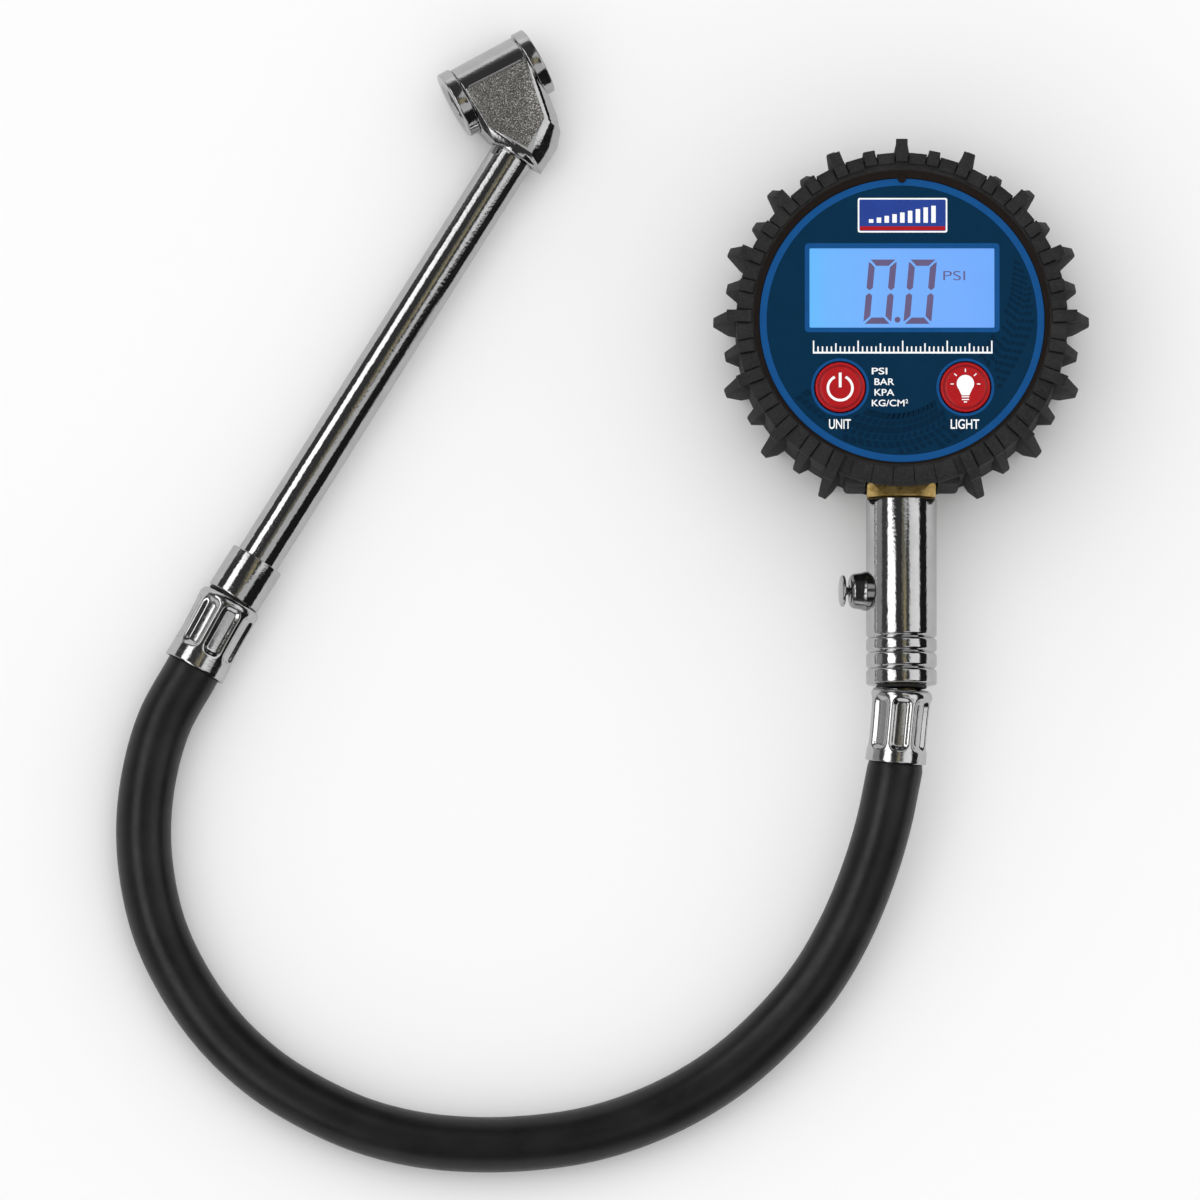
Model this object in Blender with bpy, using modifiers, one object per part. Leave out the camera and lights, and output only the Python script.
"""Digital tyre pressure gauge: a round head in a rubber boot, a bleed valve, a swivelling hose
and a rigid wand that ends in a twin push-on chuck.

The head lies on its back. The origin is on the head's axis in the plane of its back, +Z points out
of the display and +Y towards the top of the display. Sizes below are in millimetres and angles in
degrees. The helpers turn them into metres and radians.
"""

import math

import bmesh
import bpy
from mathutils import Euler, Matrix, Vector

MM = 0.001
GAP = 0.3
ROUND_STEPS = 24
FINE_STEPS = 48

# Rubber boot
BOOT_RADIUS = 37.2
BOOT_DEPTH = 36.0
BOOT_FACE = 35.2
BOOT_LIP_RADIUS = 32.3
BOOT_BACK_RADIUS = 30.5
LUG_PITCH = 11.07
LUGS_A_SIDE = 14
LUG_WIDTH = 2.8
LUG_BAR_INNER = 33.4
LONG_LUG = {"bar": 39.7, "crest": 42.3, "face": BOOT_DEPTH, "crest_face": 20.0}
SHORT_LUG = {"bar": 36.6, "crest": 40.2, "face": 35.7, "crest_face": 20.0}
BOOT_NECK_WIDTH = 26.0
BOOT_NECK_END = 36.8
BOOT_NOTCH_START = 35.7

# Case, front cover and face
CASE_RADIUS = 33.5
CASE_WALL = 1.8
CASE_TOP = 31.0
CASE_BACK = 0.2
CASE_STEP_RADIUS = 30.2
CASE_STEP = 2.7
CASE_FLOOR = 2.2
CASE_NECK = (20.0, 18.0)
CASE_NECK_END = 34.3
COVER_BACK = 31.3
COVER_FACE = 33.3
OVERLAY_RADIUS = 32.0
OVERLAY_BACK = 33.6
OVERLAY_FACE = 34.1
SCREW_SPOTS = [(x, y) for x in (-10.0, 10.0) for y in (-25.1, 25.1)]
POST_BOTTOM = 7.3

# Display
DISPLAY_Y = 7.3
DISPLAY_CLEAR = (41.5, 17.9)
LENS = (44.4, 20.9)
PANEL = (46.0, 23.0)
BACKLIGHT = (45.0, 22.0)

# Keys
KEY_SPOTS = {"power": (-13.9, -15.1), "light": (14.2, -15.1)}
KEY_RADIUS = 5.6
KEY_HOLE = 5.9
KEY_EDGE = 34.5
KEY_TOP = 35.1
KEY_FLANGE = (6.4, 29.9, 31.0)

# Circuit board
BOARD_RADIUS = 24.2
BOARD_BACK = 24.5
BOARD_FACE = 26.1
SWITCH_SIZE = 6.0

# Batteries
CELL_RADIUS = 5.25
CELL_LENGTH = 44.5
CELL_Y = (1.5, 12.7)
CELL_Z = 9.0
TRAY = (48.8, 24.6, 10.5)
TRAY_CENTRE = (0.0, 7.1, 10.05)
POCKET = (46.8, 22.6)
DOOR_SIZE = (45.6, 28.6, 1.9)
DOOR_Y = 4.5
DOOR_SCREW_Y = -7.3

# Neck: stem, valve body and swivel, all on one axis that runs towards -Y
NECK_HEIGHT = 17.5
STEM_FLAT = 15.4
STEM_SQUARE = (34.6, 38.7)
STEM_CHAMFER = (10.9, 8.35)
STEM_INNER_END = 17.0
STEM_SPIGOT = 8.3
VALVE_RADIUS = 7.95
VALVE_START = 39.0
VALVE_LENGTH = 41.7
VALVE_RINGS = (30.6, 34.2, 37.9)
VALVE_AIRWAY = 3.0
SOCKET_RADIUS = 5.3
SOCKET_START = 31.5

# Bleed valve on the side of the valve body
BLEED_ALONG = 20.7
BLEED_TILT = 8.0
BLEED_BOSS = 11.8
BLEED_CAP = (12.9, 13.9)

# Hose and its crimped ferrules
HOSE_RADIUS = 6.25
HOSE_BORE = 3.0
FERRULE_LENGTH = 16.4
GAUGE_FERRULE_START = (0.1, -82.9, 17.3)
GAUGE_FERRULE_WAY = (-0.0925, -0.990, -0.100)
GAUGE_FERRULE_RADIUS = 6.9
WAND_FERRULE_WAY = (-0.4805, -0.8770, -0.006)
WAND_FERRULE_RADIUS = 7.25
HOSE_ROUTE = [
    (-4.1, -112.2, 14.1),
    (-7.8, -124.1, 12.6),
    (-12.7, -135.6, 11.1),
    (-19.0, -146.4, 9.7),
    (-27.0, -156.1, 8.4),
    (-36.9, -165.3, 7.4),
    (-47.3, -172.3, 6.7),
    (-58.7, -177.7, 6.4),
    (-70.8, -181.4, 6.3),
    (-83.3, -183.2, 6.3),
    (-95.8, -183.6, 6.3),
    (-108.4, -182.5, 6.3),
    (-120.6, -179.5, 6.3),
    (-132.2, -174.4, 6.3),
    (-142.9, -167.8, 6.3),
    (-152.3, -159.3, 6.3),
    (-160.0, -149.2, 6.3),
    (-166.2, -137.2, 6.3),
    (-169.5, -125.1, 6.3),
    (-170.6, -112.5, 6.4),
    (-169.3, -99.9, 6.7),
    (-165.8, -87.9, 7.1),
]
HOSE_POINT_SPACING = 9.0

# Wand: sleeve, tube and chuck, along +X of the wand's own frame
WAND_START = (-150.5, -60.3, 7.6)
WAND_HEADING = 57.9
WAND_ROLL = 8.0
SLEEVE_RADIUS = 6.3
SLEEVE_LENGTH = 10.3
TUBE_RADIUS = 5.0
TUBE_BORE = 3.6
TUBE_SPAN = (4.4, 124.0)
CHUCK_BASE = 118.0
CHUCK_THICKNESS = 14.4
CHUCK_ROUNDING = 5.0
CHUCK_OUTLINE = [
    (112.0, -7.7),
    (126.8, -7.5),
    (134.2, 1.0),
    (136.5, 8.0),
    (124.0, 15.0),
    (118.5, 9.4),
    (112.0, 8.4),
]
BARREL_CENTRE = (130.25, 11.93, 0.0)
BARREL_TURN = -29.1
BARREL_RADIUS = 7.4
BARREL_HALF = 7.83
BARREL_BORE = 6.4
CHAMBER_RADIUS = 3.4
CHAMBER_HALF = 3.1
CAP_RADIUS = 7.87
CAP_FACE = 10.93
CAP_FLANGE = 2.8
CAP_SPIGOT = 5.9
MOUTH_RADIUS = 4.25
SEAL_SPAN = (3.4, 5.6)
DEPRESSOR_HEAD = (2.1, 3.1)
DEPRESSOR_TIP = 6.6

PLASTIC = (0.025, 0.026, 0.028)
RUBBER = (0.018, 0.018, 0.019)
CHROME = (0.80, 0.80, 0.81)
STEEL = (0.62, 0.62, 0.63)
BRASS = (0.72, 0.50, 0.18)


# ---------------------------------------------------------------- helpers


def clear_scene():
    for obj in list(bpy.data.objects):
        bpy.data.objects.remove(obj)


def make_collection(name, hidden=False):
    collection = bpy.data.collections.new(name)
    collection.hide_render = hidden
    bpy.context.scene.collection.children.link(collection)
    return collection


def mm(*values):
    return Vector(values) * MM


def make_object(name, mesh):
    obj = bpy.data.objects.new(name, mesh)
    PARTS.objects.link(obj)
    return obj


def place(obj, at, way=(0.0, 0.0, 1.0), parent=None):
    """Moves the object to `at`, turns its +Z along `way` and hangs it on a parent frame."""
    obj.rotation_mode = "QUATERNION"
    obj.rotation_quaternion = Vector(way).to_track_quat("Z", "Y")
    obj.location = mm(*at)
    obj.parent = parent
    return obj


def frame_empty(name, at, angles):
    empty = bpy.data.objects.new(name, None)
    empty.location = mm(*at)
    empty.rotation_euler = Euler([math.radians(angle) for angle in angles])
    PARTS.objects.link(empty)
    return empty


def turned(name, profile, steps=ROUND_STEPS):
    """A turned solid about +Z from (radius, height) points.

    A profile that starts and ends on the axis is open there. Any other profile is a closed ring section.
    """
    on_axis = profile[0][0] == 0 and profile[-1][0] == 0
    pairs = zip(profile, profile[1:] + profile[:1])
    area = sum(a[0] * b[1] - b[0] * a[1] for a, b in pairs)
    points = profile if area < 0 else profile[::-1]
    mesh = bpy.data.meshes.new(name)
    count = len(points)
    edges = [(i, i + 1) for i in range(count - 1)]
    if not on_axis:
        edges.append((count - 1, 0))
    mesh.from_pydata([mm(r, 0.0, z) for r, z in points], edges, [])
    obj = make_object(name, mesh)
    screw = obj.modifiers.new("Turn", "SCREW")
    screw.steps = steps
    screw.render_steps = steps
    screw.use_smooth_shade = True
    screw.use_merge_vertices = True
    screw.merge_threshold = 0.00001
    return obj


def tube_profile(outer, inner, start, end):
    return [(outer, start), (outer, end), (inner, end), (inner, start)]


def rod_profile(radius, start, end):
    return [(0.0, start), (radius, start), (radius, end), (0.0, end)]


def rod(name, radius, start, end, steps=ROUND_STEPS):
    return turned(name, rod_profile(radius, start, end), steps)


def block(name, size, centre, bevel=0.0, segments=2):
    mesh = bpy.data.meshes.new(name)
    shape = bmesh.new()
    bmesh.ops.create_cube(shape, size=1.0)
    bmesh.ops.scale(shape, vec=mm(*size), verts=shape.verts)
    shape.to_mesh(mesh)
    shape.free()
    obj = place(make_object(name, mesh), centre)
    if bevel:
        rounding = obj.modifiers.new("Edges", "BEVEL")
        rounding.width = bevel * MM
        rounding.segments = segments
    return obj


def mesh_from_curve(name, curve):
    """The curve's tube or plate as a mesh object whose caps are welded to its sides."""
    guide = bpy.data.objects.new(name + "_curve", curve)
    PARTS.objects.link(guide)
    graph = bpy.context.evaluated_depsgraph_get()
    mesh = bpy.data.meshes.new_from_object(guide.evaluated_get(graph))
    mesh.name = name
    shape = bmesh.new()
    shape.from_mesh(mesh)
    bmesh.ops.remove_doubles(shape, verts=shape.verts, dist=0.000001)
    bmesh.ops.recalc_face_normals(shape, faces=shape.faces)
    shape.to_mesh(mesh)
    shape.free()
    obj = make_object(name, mesh)
    obj.matrix_world = guide.matrix_world
    bpy.data.objects.remove(guide)
    return obj


def plate(name, outline, thickness, rounding=0.0):
    """A flat outline in the XY plane, `thickness` deep and centred on it, with round edges if asked."""
    curve = bpy.data.curves.new(name, "CURVE")
    curve.dimensions = "2D"
    curve.fill_mode = "BOTH"
    curve.extrude = (thickness / 2 - rounding) * MM
    curve.bevel_depth = rounding * MM
    curve.bevel_resolution = 2
    curve.offset = -rounding * MM
    spline = curve.splines.new("POLY")
    spline.points.add(len(outline) - 1)
    for point, (x, y) in zip(spline.points, outline):
        point.co = (x * MM, y * MM, 0.0, 1.0)
    spline.use_cyclic_u = True
    return mesh_from_curve(name, curve)


def wire(name, points, radius, resolution=2):
    """A round wire or hose through the given points."""
    curve = bpy.data.curves.new(name, "CURVE")
    curve.dimensions = "3D"
    curve.bevel_depth = radius * MM
    curve.bevel_resolution = resolution
    curve.use_fill_caps = True
    spline = curve.splines.new("POLY")
    spline.points.add(len(points) - 1)
    for point, place_mm in zip(spline.points, points):
        point.co = (*mm(*place_mm), 1.0)
    return mesh_from_curve(name, curve)


def coil(name, radius, wire_radius, start, end, turns, points_per_turn=8):
    """A spring about +Z between two heights."""
    low = start + wire_radius
    rise = end - start - 2 * wire_radius
    count = int(turns * points_per_turn)
    points = []
    for i in range(count + 1):
        angle = 2 * math.pi * turns * i / count
        points.append((radius * math.cos(angle), radius * math.sin(angle), low + rise * i / count))
    return wire(name, points, wire_radius)


def combine(obj, operation, tools):
    """Adds Booleans with the tools, which become hidden wire-frame helpers."""
    for tool in tools:
        PARTS.objects.unlink(tool)
        CUTTERS.objects.link(tool)
        tool.hide_render = True
        tool.display_type = "WIRE"
        boolean = obj.modifiers.new(operation.title(), "BOOLEAN")
        boolean.operation = operation
        boolean.object = tool
        boolean.solver = "EXACT"
    return obj


def cut(obj, *tools):
    return combine(obj, "DIFFERENCE", tools)


def join(obj, *tools):
    return combine(obj, "UNION", tools)


def merged(name, objects):
    """One mesh object from several that do not touch each other, at their places."""
    graph = bpy.context.evaluated_depsgraph_get()
    shape = bmesh.new()
    for obj in objects:
        piece = bpy.data.meshes.new_from_object(obj.evaluated_get(graph))
        piece.transform(obj.matrix_world)
        shape.from_mesh(piece)
        bpy.data.meshes.remove(piece)
    for obj in objects:
        bpy.data.objects.remove(obj)
    mesh = bpy.data.meshes.new(name)
    shape.to_mesh(mesh)
    shape.free()
    return make_object(name, mesh)


def finish(obj, colour, roughness, metallic=0.0):
    """Gives the node its own material."""
    material = bpy.data.materials.new(obj.name)
    material.use_nodes = True
    shader = material.node_tree.nodes["Principled BSDF"]
    shader.inputs["Base Color"].default_value = (*colour, 1.0)
    shader.inputs["Roughness"].default_value = roughness
    shader.inputs["Metallic"].default_value = metallic
    obj.data.materials.append(material)
    return obj


# ---------------------------------------------------------------- head


def lug_plate(index, lug):
    """One tread lug: a radial plate whose bar lies on the boot's face and whose crest is chamfered."""
    root = BOOT_RADIUS - 1.2
    outline = [
        (LUG_BAR_INNER, BOOT_FACE - 0.6),
        (LUG_BAR_INNER, lug["face"]),
        (lug["bar"], lug["face"]),
        (lug["crest"], lug["crest_face"]),
        (lug["crest"], BOOT_DEPTH - lug["crest_face"]),
        (lug["bar"], 1.0),
        (root, 1.0),
        (root, BOOT_FACE - 0.6),
    ]
    obj = plate(f"lug_{index}", outline, LUG_WIDTH)
    angle = math.radians(90.0 - index * LUG_PITCH)
    upright = Matrix.Rotation(math.radians(90.0), 4, "X")
    obj.matrix_world = Matrix.Rotation(angle, 4, "Z") @ upright
    return obj


def rubber_boot():
    profile = [
        (BOOT_LIP_RADIUS, 33.6),
        (BOOT_LIP_RADIUS, 34.9),
        (BOOT_LIP_RADIUS + 0.4, BOOT_FACE),
        (36.0, BOOT_FACE),
        (BOOT_RADIUS, 34.0),
        (BOOT_RADIUS, 1.6),
        (36.0, 0.0),
        (BOOT_BACK_RADIUS, 0.0),
        (BOOT_BACK_RADIUS, 2.4),
        (CASE_RADIUS + GAP, 2.4),
        (CASE_RADIUS + GAP, 33.6),
    ]
    boot = turned("rubber_boot", profile, FINE_STEPS)
    lugs = []
    for index in range(-LUGS_A_SIDE, LUGS_A_SIDE + 1):
        lugs.append(lug_plate(index, SHORT_LUG if index % 2 else LONG_LUG))
    bpy.context.view_layer.update()
    neck_depth = 26.0
    inner = CASE_RADIUS + 1.5
    neck_size = (BOOT_NECK_WIDTH, BOOT_NECK_END - inner, neck_depth)
    neck = block("boot_neck", neck_size, (0.0, -(BOOT_NECK_END + inner) / 2, NECK_HEIGHT), 1.5)
    width, height = CASE_NECK
    pocket_size = (width + 2 * GAP, CASE_NECK_END + GAP - 30.0, height + 2 * GAP)
    pocket = block("boot_pocket", pocket_size, (0.0, -(CASE_NECK_END + GAP + 30.0) / 2, NECK_HEIGHT))
    slot_side = STEM_FLAT + 2 * GAP
    slot = block("boot_slot", (slot_side, 12.0, slot_side), (0.0, -38.0, NECK_HEIGHT))
    notch_end = BOOT_NECK_END + 2.0
    notch_size = (slot_side, notch_end - BOOT_NOTCH_START, neck_depth + 2.0)
    notch = block("boot_notch", notch_size, (0.0, -(BOOT_NOTCH_START + notch_end) / 2, NECK_HEIGHT))
    join(boot, merged("boot_lugs", lugs), neck)
    cut(boot, pocket, slot, notch)
    return finish(boot, RUBBER, 0.75)


def case_shell():
    inside = CASE_RADIUS - CASE_WALL
    profile = [
        (0.0, CASE_BACK),
        (CASE_STEP_RADIUS, CASE_BACK),
        (CASE_STEP_RADIUS, CASE_STEP),
        (CASE_RADIUS, CASE_STEP),
        (CASE_RADIUS, CASE_TOP),
        (inside, CASE_TOP),
        (inside, CASE_STEP + CASE_WALL),
        (CASE_STEP_RADIUS - CASE_WALL, CASE_STEP + CASE_WALL),
        (CASE_STEP_RADIUS - CASE_WALL, CASE_FLOOR),
        (0.0, CASE_FLOOR),
    ]
    case = turned("case_shell", profile, FINE_STEPS)
    width, height = CASE_NECK
    neck_size = (width, CASE_NECK_END - 32.0, height)
    neck = block("case_neck", neck_size, (0.0, -(CASE_NECK_END + 32.0) / 2, NECK_HEIGHT))
    join(case, neck)
    for x, y in SCREW_SPOTS:
        join(case, place(rod("screw_boss", 3.0, 1.5, POST_BOTTOM - GAP, 16), (x, y, 0.0)))
        recess = place(rod("screw_recess", 2.6, -1.0, 3.0, 16), (x, y, 0.0))
        hole = place(rod("screw_hole", 1.4, 2.0, 9.0, 16), (x, y, 0.0))
        cut(case, recess, hole)
    bore = place(rod("neck_bore", 6.3, 25.0, 40.0), (0.0, 0.0, NECK_HEIGHT), (0.0, -1.0, 0.0))
    door_width, door_height, _ = DOOR_SIZE
    opening_size = (door_width + 2 * GAP, door_height + 2 * GAP, 6.0)
    opening = block("door_opening", opening_size, (0.0, DOOR_Y, 2.0))
    cut(case, bore, opening)
    return finish(case, PLASTIC, 0.45)


def front_cover():
    cover = rod("front_cover", CASE_RADIUS, COVER_BACK, COVER_FACE, FINE_STEPS)
    for x, y in SCREW_SPOTS:
        join(cover, place(rod("cover_post", 2.4, POST_BOTTOM, COVER_BACK + 1.0, 16), (x, y, 0.0)))
        cut(cover, place(rod("post_hole", 1.3, POST_BOTTOM - 1.0, 17.0, 16), (x, y, 0.0)))
    lens_width, lens_height = LENS
    window = block("cover_window", (lens_width + 2 * GAP, lens_height + 2 * GAP, 8.0), (0.0, DISPLAY_Y, 32.0))
    cut(cover, window)
    for x, y in KEY_SPOTS.values():
        cut(cover, place(rod("key_hole", KEY_HOLE, 28.0, 36.0), (x, y, 0.0)))
    return finish(cover, PLASTIC, 0.45)


def face_overlay():
    overlay = rod("face_overlay", OVERLAY_RADIUS, OVERLAY_BACK, OVERLAY_FACE, FINE_STEPS)
    cut(overlay, block("overlay_window", (*DISPLAY_CLEAR, 4.0), (0.0, DISPLAY_Y, 34.0)))
    for x, y in KEY_SPOTS.values():
        cut(overlay, place(rod("overlay_hole", KEY_HOLE, 32.0, 36.0), (x, y, 0.0)))
    return finish(overlay, (0.004, 0.028, 0.065), 0.35)


def display():
    slabs = [
        ("lcd_window", LENS, 31.7, COVER_FACE, (0.30, 0.52, 0.95), 0.10),
        ("lcd_panel", PANEL, 29.2, CASE_TOP, (0.35, 0.42, 0.40), 0.20),
        ("backlight_panel", BACKLIGHT, 26.5, 28.9, (0.85, 0.90, 0.95), 0.40),
    ]
    for name, (width, height), low, high, colour, roughness in slabs:
        slab = block(name, (width, height, high - low), (0.0, DISPLAY_Y, (low + high) / 2))
        finish(slab, colour, roughness)


def key_button(name):
    """A domed key with a flange that keeps it behind the front cover."""
    x, y = KEY_SPOTS[name]
    flange_radius, flange_low, flange_high = KEY_FLANGE
    profile = [
        (0.0, flange_low),
        (flange_radius, flange_low),
        (flange_radius, flange_high),
        (KEY_RADIUS, flange_high),
        (KEY_RADIUS, KEY_EDGE - 0.3),
        (KEY_RADIUS - 0.3, KEY_EDGE),
        (KEY_RADIUS * 0.6, (KEY_EDGE + KEY_TOP) / 2),
        (0.0, KEY_TOP),
    ]
    key = place(turned(name + "_button", profile), (x, y, 0.0))
    return finish(key, (0.42, 0.012, 0.016), 0.30)


def key_switch(name):
    x, y = KEY_SPOTS[name]
    body = block(name + "_switch", (SWITCH_SIZE, SWITCH_SIZE, 2.2), (x, y, 27.5))
    join(body, place(rod("plunger", 1.7, 27.0, 29.2, 16), (x, y, 0.0)))
    return finish(body, (0.05, 0.05, 0.055), 0.5)


def circuit_board():
    board = rod("circuit_board", BOARD_RADIUS, BOARD_BACK, BOARD_FACE, 36)
    join(board, block("controller", (10.0, 10.0, 2.4), (10.0, 9.0, BOARD_BACK)))
    join(board, block("amplifier", (5.0, 4.0, 2.0), (-6.0, -14.0, BOARD_BACK)))
    return finish(board, (0.01, 0.12, 0.05), 0.5)


def battery_group():
    tray = block("battery_tray", TRAY, TRAY_CENTRE)
    ear = block("tray_ear", (10.0, 6.0, 4.2), (0.0, -8.0, 6.9))
    ear_hole = place(rod("ear_hole", 1.3, 3.0, 12.0, 16), (0.0, DOOR_SCREW_Y, 0.0))
    pocket = block("tray_pocket", (*POCKET, 12.0), (0.0, TRAY_CENTRE[1], 8.5))
    join(tray, ear)
    cut(tray, pocket, ear_hole)
    finish(tray, PLASTIC, 0.5)
    for number, y in enumerate(CELL_Y, 1):
        half = CELL_LENGTH / 2
        profile = [
            (0.0, -half),
            (CELL_RADIUS, -half),
            (CELL_RADIUS, half - 1.0),
            (1.9, half - 1.0),
            (1.9, half),
            (0.0, half),
        ]
        way = (1.0 if number == 1 else -1.0, 0.0, 0.0)
        cell = place(turned(f"battery_{number}", profile, 24), (0.0, y, CELL_Z), way)
        finish(cell, (0.10, 0.10, 0.11), 0.35, 0.3)
    for number, side in enumerate((-1.0, 1.0), 1):
        centre = (side * 22.9, TRAY_CENTRE[1], CELL_Z)
        contact = block(f"battery_contact_{number}", (0.4, 20.0, 8.0), centre)
        finish(contact, STEEL, 0.3, 1.0)


def battery_door():
    door = block("battery_door", DOOR_SIZE, (0.0, DOOR_Y, DOOR_SIZE[2] / 2))
    hole = place(rod("door_hole", 1.4, -1.0, 4.0, 16), (0.0, DOOR_SCREW_Y, 0.0))
    sink = place(rod("door_sink", 2.6, -1.0, 1.1, 16), (0.0, DOOR_SCREW_Y, 0.0))
    cut(door, hole, sink)
    return finish(door, PLASTIC, 0.5)


def screw(name, x, y, head_low, head_high, tip):
    """A pan-head screw whose shank runs up from its head."""
    profile = [
        (0.0, head_low),
        (1.8, head_low),
        (2.2, head_low + 0.4),
        (2.2, head_high),
        (1.0, head_high),
        (1.0, tip - 0.8),
        (0.3, tip),
        (0.0, tip),
    ]
    return finish(place(turned(name, profile, 16), (x, y, 0.0)), STEEL, 0.3, 1.0)


def fasteners():
    screw("door_screw", 0.0, DOOR_SCREW_Y, 0.1, 0.8, 8.0)
    for number, (x, y) in enumerate(SCREW_SPOTS, 1):
        screw(f"case_screw_{number}", x, y, 1.2, 2.7, 15.0)


# ---------------------------------------------------------------- neck


def on_neck(obj, along=0.0):
    """Places a piece turned about +Z on the neck axis, its +Z running away from the head."""
    return place(obj, (0.0, -along, NECK_HEIGHT), (0.0, -1.0, 0.0))


def brass_stem():
    """Square body with a turned chamfer, a round tail into the case and a spigot into the valve body."""
    square_start, square_end = STEM_SQUARE
    length = square_end - square_start
    middle = (0.0, -(square_start + square_end) / 2, NECK_HEIGHT)
    stem = block("brass_stem", (STEM_FLAT, length, STEM_FLAT), middle)
    wide, narrow = STEM_CHAMFER
    taper = [(0.0, square_start - 1.0), (wide, square_start), (narrow, square_end), (0.0, square_end + 0.5)]
    chamfer = on_neck(turned("stem_chamfer", taper))
    tail = on_neck(rod("stem_tail", 6.0, STEM_INNER_END, square_start + 1.0))
    spigot = on_neck(rod("stem_spigot", 4.8, square_end - 1.0, square_end + STEM_SPIGOT))
    airway = on_neck(rod("stem_airway", 2.0, STEM_INNER_END - 1.0, square_end + STEM_SPIGOT + 1.0, 16))
    combine(stem, "INTERSECT", [chamfer])
    join(stem, tail, spigot)
    cut(stem, airway)
    return finish(stem, BRASS, 0.35, 1.0)


def stem_seal():
    seal = turned("stem_seal", tube_profile(6.3, 5.1, 0.3, 2.0))
    return finish(on_neck(seal, VALVE_START), RUBBER, 0.6)


def pressure_sensor():
    profile = [
        (0.0, 8.5),
        (3.0, 8.5),
        (3.0, 9.6),
        (6.0, 9.6),
        (6.0, STEM_INNER_END - GAP),
        (0.0, STEM_INNER_END - GAP),
    ]
    return finish(on_neck(turned("pressure_sensor", profile, 24)), STEEL, 0.3, 1.0)


def bleed_way():
    tilt = math.radians(BLEED_TILT)
    return (-math.cos(tilt), 0.0, math.sin(tilt))


def on_bleed(obj):
    """Places a piece turned about +Z on the bleed axis, its +Z running out of the valve body's side."""
    return place(obj, (0.0, -(VALVE_START + BLEED_ALONG), NECK_HEIGHT), bleed_way())


def valve_body():
    edge = 0.6
    groove_half = 0.45
    groove_depth = 0.5
    outer = [(VALVE_RADIUS - edge, 0.0), (VALVE_RADIUS, edge)]
    for ring in VALVE_RINGS:
        outer.append((VALVE_RADIUS, ring - groove_half))
        outer.append((VALVE_RADIUS - groove_depth, ring))
        outer.append((VALVE_RADIUS, ring + groove_half))
    outer.append((VALVE_RADIUS, VALVE_LENGTH - edge))
    outer.append((VALVE_RADIUS - edge, VALVE_LENGTH))
    inner = [
        (SOCKET_RADIUS, VALVE_LENGTH),
        (SOCKET_RADIUS, SOCKET_START),
        (VALVE_AIRWAY, SOCKET_START),
        (VALVE_AIRWAY, STEM_SPIGOT + 0.6),
        (5.1, STEM_SPIGOT + 0.6),
        (5.1, 2.3),
        (6.6, 2.3),
        (6.6, 0.0),
    ]
    body = on_neck(turned("valve_body", outer + inner, 28), VALVE_START)
    cut(body, on_bleed(rod("bleed_port", 2.8, 0.0, 12.0, 20)))
    return finish(body, CHROME, 0.12, 1.0)


def bleed_bushing():
    """Tapered boss that sits on the valve body like a saddle, with a spigot in its side port."""
    boss = on_bleed(rod_cone("bleed_bushing", 4.3, 3.6, 6.0, BLEED_BOSS))
    saddle = on_neck(rod("boss_saddle", VALVE_RADIUS + GAP, 45.0, 75.0, FINE_STEPS))
    spigot = on_bleed(rod("boss_spigot", 2.5, 5.6, 9.0, 24))
    stem_hole = on_bleed(rod("boss_hole", 1.1, 4.0, 13.0, 16))
    cut(boss, saddle)
    join(boss, spigot)
    cut(boss, stem_hole)
    return finish(boss, (0.45, 0.45, 0.46), 0.15, 1.0)


def rod_cone(name, base, top, start, end):
    return turned(name, [(0.0, start), (base, start), (top, end - 0.4), (top - 0.4, end), (0.0, end)], 24)


def bleed_button():
    """Thumb disc, thin stem and the poppet that it lifts inside the airway."""
    cap_low, cap_high = BLEED_CAP
    profile = [
        (0.0, 3.1),
        (2.1, 3.1),
        (2.1, 4.1),
        (0.75, 4.1),
        (0.75, cap_low),
        (3.3, cap_low),
        (3.65, cap_low + 0.3),
        (3.4, cap_high - 0.1),
        (0.0, cap_high + 0.2),
    ]
    return finish(on_bleed(turned("bleed_button", profile, 24)), CHROME, 0.12, 1.0)


def bleed_internals():
    seal = on_bleed(turned("bleed_seal", tube_profile(2.2, 1.1, 4.4, 5.3), 20))
    finish(seal, RUBBER, 0.6)
    spring = on_bleed(coil("bleed_spring", 1.4, 0.2, -2.5, 2.8, 4))
    finish(spring, STEEL, 0.3, 1.0)


# ---------------------------------------------------------------- hose


def wand_way():
    heading = math.radians(WAND_HEADING)
    return Vector((math.cos(heading), math.sin(heading), 0.0))


def wand_ferrule_start():
    return tuple(Vector(WAND_START) - wand_way() * 1.7)


def smooth_route(points, spacing):
    """Evenly spread points of a Catmull-Rom curve that passes through the route."""
    ends = [points[0] * 2 - points[1], *points, points[-1] * 2 - points[-2]]
    fine = []
    for a, b, c, d in zip(ends, ends[1:], ends[2:], ends[3:]):
        for step in range(16):
            t = step / 16
            bend = (2 * a - 5 * b + 4 * c - d) * t**2 + (3 * b - a - 3 * c + d) * t**3
            fine.append(0.5 * (2 * b + (c - a) * t + bend))
    fine.append(points[-1])
    length = sum((b - a).length for a, b in zip(fine, fine[1:]))
    count = round(length / spacing)
    spread = [fine[0]]
    walked = 0.0
    for a, b in zip(fine, fine[1:]):
        walked += (b - a).length
        if walked >= length * len(spread) / count and len(spread) < count:
            spread.append(b)
    spread.append(fine[-1])
    return spread


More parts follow.
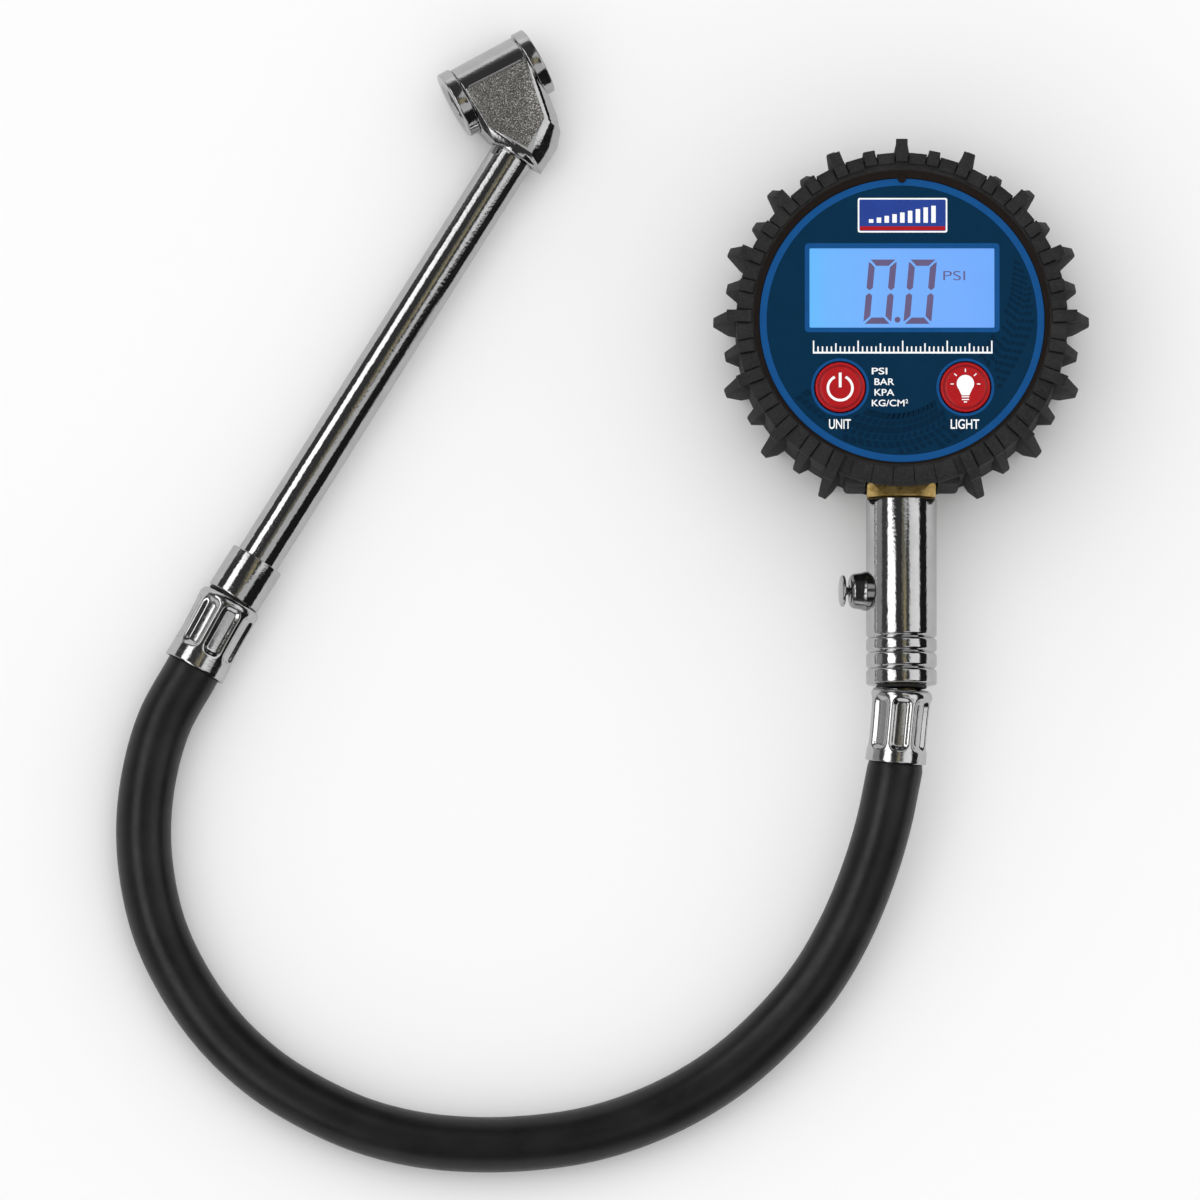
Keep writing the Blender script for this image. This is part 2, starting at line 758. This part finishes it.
def hose_points():
    """The centre line between the two nipples, straight inside each ferrule."""
    gauge_way = Vector(GAUGE_FERRULE_WAY).normalized()
    gauge_start = Vector(GAUGE_FERRULE_START)
    far_way = Vector(WAND_FERRULE_WAY).normalized()
    far_start = Vector(wand_ferrule_start())
    near = gauge_start + gauge_way * (FERRULE_LENGTH + 0.5)
    far = far_start + far_way * (FERRULE_LENGTH + 0.5)
    route = [near, *[Vector(point) for point in HOSE_ROUTE], far]
    first = gauge_start + gauge_way * 2.4
    last = far_start + far_way * 2.4
    return [first, *smooth_route(route, HOSE_POINT_SPACING), last]


def hose():
    points = hose_points()
    tube = wire("hose", points, HOSE_RADIUS, 3)
    overrun_start = points[0] + (points[0] - points[1]).normalized() * 4.0
    overrun_end = points[-1] + (points[-1] - points[-2]).normalized() * 4.0
    bore = wire("hose_bore", [overrun_start, *points[1:-1], overrun_end], HOSE_BORE, 2)
    cut(tube, bore)
    return finish(tube, RUBBER, 0.5)


def ferrule(name, start, way, radius):
    """A thin crimped cup over the hose end, closed by a shoulder round the nipple."""
    wall = radius - HOSE_RADIUS - GAP
    inner = radius - wall
    profile = [
        (3.2, 0.0),
        (radius - 1.9, 0.0),
        (radius - 0.6, 0.6),
        (radius, 1.9),
        (radius, FERRULE_LENGTH),
        (inner, FERRULE_LENGTH),
        (inner, 2.1),
        (3.2, 1.3),
    ]
    return finish(place(turned(name, profile), start, way), (0.68, 0.68, 0.69), 0.2, 1.0)


def barbed_tail(name):
    """Hose tail with three barbs, starting at its root."""
    profile = [(0.0, -1.5), (2.6, -1.5), (2.6, 4.0)]
    for barb in (5.0, 8.5, 12.0):
        profile += [(2.7, barb), (2.2, barb + 3.0)]
    profile.append((0.0, 15.0))
    return turned(name, profile, 14)


def hose_nipple_gauge():
    """Swivel head in the valve body's socket, with a barbed tail that leans with the ferrule."""
    socket_end = VALVE_START + VALVE_LENGTH
    profile = [
        (0.0, socket_end - 9.2),
        (5.0, socket_end - 9.2),
        (5.0, socket_end - 6.2),
        (3.5, socket_end - 6.2),
        (3.5, socket_end + 1.2),
        (2.4, socket_end + 2.0),
        (0.0, socket_end + 2.0),
    ]
    nipple = on_neck(turned("hose_nipple_gauge", profile, 24))
    tail = place(barbed_tail("gauge_tail"), GAUGE_FERRULE_START, GAUGE_FERRULE_WAY)
    tail_bore = place(rod("gauge_tail_bore", 1.4, -1.5, 16.0, 12), GAUGE_FERRULE_START, GAUGE_FERRULE_WAY)
    head_bore = on_neck(rod("gauge_head_bore", 1.4, socket_end - 10.0, socket_end + 1.6, 12))
    join(nipple, tail)
    cut(nipple, tail_bore, head_bore)
    return finish(nipple, BRASS, 0.3, 1.0)


def hose_nipple_wand():
    """Swivel head in the wand's sleeve, with a barbed tail that leans with the ferrule."""
    profile = [
        (0.0, -3.8),
        (5.0, -3.8),
        (5.0, -0.9),
        (3.5, -0.9),
        (3.5, 1.2),
        (2.4, 1.9),
        (0.0, 1.9),
    ]
    back = tuple(-wand_way())
    nipple = place(turned("hose_nipple_wand", profile, 24), WAND_START, back)
    start = wand_ferrule_start()
    tail = place(barbed_tail("wand_tail"), start, WAND_FERRULE_WAY)
    tail_bore = place(rod("wand_tail_bore", 1.4, -1.5, 16.0, 12), start, WAND_FERRULE_WAY)
    head_bore = place(rod("wand_head_bore", 1.4, -5.0, 1.6, 12), WAND_START, back)
    join(nipple, tail)
    cut(nipple, tail_bore, head_bore)
    return finish(nipple, BRASS, 0.3, 1.0)


def swivel_seals():
    gauge_seal = turned("swivel_seal_gauge", tube_profile(5.6, 3.8, 0.3, 1.2), 24)
    finish(on_neck(gauge_seal, VALVE_START + VALVE_LENGTH), RUBBER, 0.6)
    wand_seal = turned("swivel_seal_wand", tube_profile(5.6, 3.8, 0.3, 1.1), 24)
    finish(place(wand_seal, WAND_START, tuple(-wand_way())), RUBBER, 0.6)


# ---------------------------------------------------------------- wand


def along_wand(obj):
    """Places a piece turned about +Z on the wand's axis, its +Z running towards the chuck."""
    return place(obj, (0.0, 0.0, 0.0), (1.0, 0.0, 0.0), WAND_FRAME)


def on_barrel(obj, side=1.0):
    """Places a piece turned about +Z on the chuck's barrel, its +Z towards the forward or backward mouth."""
    turn = math.radians(BARREL_TURN)
    way = (side * math.cos(turn), side * math.sin(turn), 0.0)
    return place(obj, BARREL_CENTRE, way, WAND_FRAME)


def wand_tube_group():
    sleeve_profile = [
        (SLEEVE_RADIUS - 0.3, 0.0),
        (SLEEVE_RADIUS, 0.3),
        (SLEEVE_RADIUS, SLEEVE_LENGTH - 0.4),
        (SLEEVE_RADIUS - 0.4, SLEEVE_LENGTH),
        (SOCKET_RADIUS, SLEEVE_LENGTH),
        (SOCKET_RADIUS, 0.0),
    ]
    finish(along_wand(turned("wand_sleeve", sleeve_profile)), CHROME, 0.12, 1.0)
    tube = turned("wand_tube", tube_profile(TUBE_RADIUS, TUBE_BORE, *TUBE_SPAN))
    finish(along_wand(tube), CHROME, 0.12, 1.0)


def chuck_body():
    """Casting that joins the tube's socket to a cross barrel with a mouth at each end."""
    casting = plate("chuck_body", CHUCK_OUTLINE, CHUCK_THICKNESS, CHUCK_ROUNDING)
    casting.parent = WAND_FRAME
    base = block("casting_base", (20.0, 30.0, 30.0), (CHUCK_BASE - 10.0, 0.0, 0.0))
    base.parent = WAND_FRAME
    barrel = on_barrel(rod("barrel", BARREL_RADIUS, -BARREL_HALF - 1.0, BARREL_HALF + 1.0))
    socket = along_wand(rod("tube_socket", TUBE_RADIUS + GAP, CHUCK_BASE - 2.0, TUBE_SPAN[1] + GAP))
    elbow = Vector((TUBE_SPAN[1] - 1.0, 0.0, 0.0))
    centre = Vector(BARREL_CENTRE)
    way = centre - elbow
    airway = place(rod("chuck_airway", 2.0, 0.0, way.length, 16), elbow, way, WAND_FRAME)
    half_bore = [
        (CHAMBER_RADIUS, CHAMBER_HALF),
        (BARREL_BORE, CHAMBER_HALF),
        (BARREL_BORE, BARREL_HALF),
        (CAP_RADIUS + GAP, BARREL_HALF),
        (CAP_RADIUS + GAP, CAP_FACE + 4.0),
        (0.0, CAP_FACE + 4.0),
    ]
    through_bore = [(radius, -height) for radius, height in reversed(half_bore)] + half_bore
    cut(casting, base)
    join(casting, barrel)
    cut(casting, on_barrel(turned("barrel_bore", through_bore)), socket, airway)
    return finish(casting, CHROME, 0.15, 1.0)


def mouth_group(label, side):
    """Ring cap, rubber seal and sprung depressor of one mouth."""
    flange_low = CAP_FACE - CAP_FLANGE
    cap_profile = [
        (MOUTH_RADIUS, CAP_SPIGOT),
        (6.1, CAP_SPIGOT),
        (6.1, flange_low),
        (CAP_RADIUS, flange_low),
        (CAP_RADIUS, CAP_FACE - 0.4),
        (CAP_RADIUS - 0.4, CAP_FACE),
        (MOUTH_RADIUS, CAP_FACE),
    ]
    cap = on_barrel(turned(f"chuck_cap_{label}", cap_profile), side)
    finish(cap, CHROME, 0.12, 1.0)
    seal = on_barrel(turned(f"chuck_seal_{label}", tube_profile(6.1, 2.9, *SEAL_SPAN), 24), side)
    finish(seal, RUBBER, 0.6)
    head_low, head_high = DEPRESSOR_HEAD
    depressor_profile = [
        (0.0, head_low),
        (3.05, head_low),
        (3.05, head_high),
        (1.2, head_high),
        (1.2, DEPRESSOR_TIP - 0.5),
        (0.7, DEPRESSOR_TIP),
        (0.0, DEPRESSOR_TIP),
    ]
    depressor = on_barrel(turned(f"depressor_{label}", depressor_profile, 20), side)
    finish(depressor, BRASS, 0.3, 1.0)


def chuck_spring():
    low = DEPRESSOR_HEAD[0] - GAP
    spring = on_barrel(coil("chuck_spring", 2.2, 0.2, -low, low, 3))
    return finish(spring, STEEL, 0.3, 1.0)


clear_scene()
PARTS = make_collection("tyre_pressure_gauge")
CUTTERS = make_collection("cutters", hidden=True)
WAND_FRAME = frame_empty("wand_frame", WAND_START, (WAND_ROLL, 0.0, WAND_HEADING))

rubber_boot()
case_shell()
front_cover()
face_overlay()
display()
for key in KEY_SPOTS:
    key_button(key)
    key_switch(key)
circuit_board()
battery_group()
battery_door()
fasteners()

brass_stem()
stem_seal()
pressure_sensor()
valve_body()
bleed_bushing()
bleed_button()
bleed_internals()

hose()
ferrule("ferrule_gauge", GAUGE_FERRULE_START, GAUGE_FERRULE_WAY, GAUGE_FERRULE_RADIUS)
ferrule("ferrule_wand", wand_ferrule_start(), WAND_FERRULE_WAY, WAND_FERRULE_RADIUS)
hose_nipple_gauge()
hose_nipple_wand()
swivel_seals()

wand_tube_group()
chuck_body()
for label, side in (("front", 1.0), ("back", -1.0)):
    mouth_group(label, side)
chuck_spring()
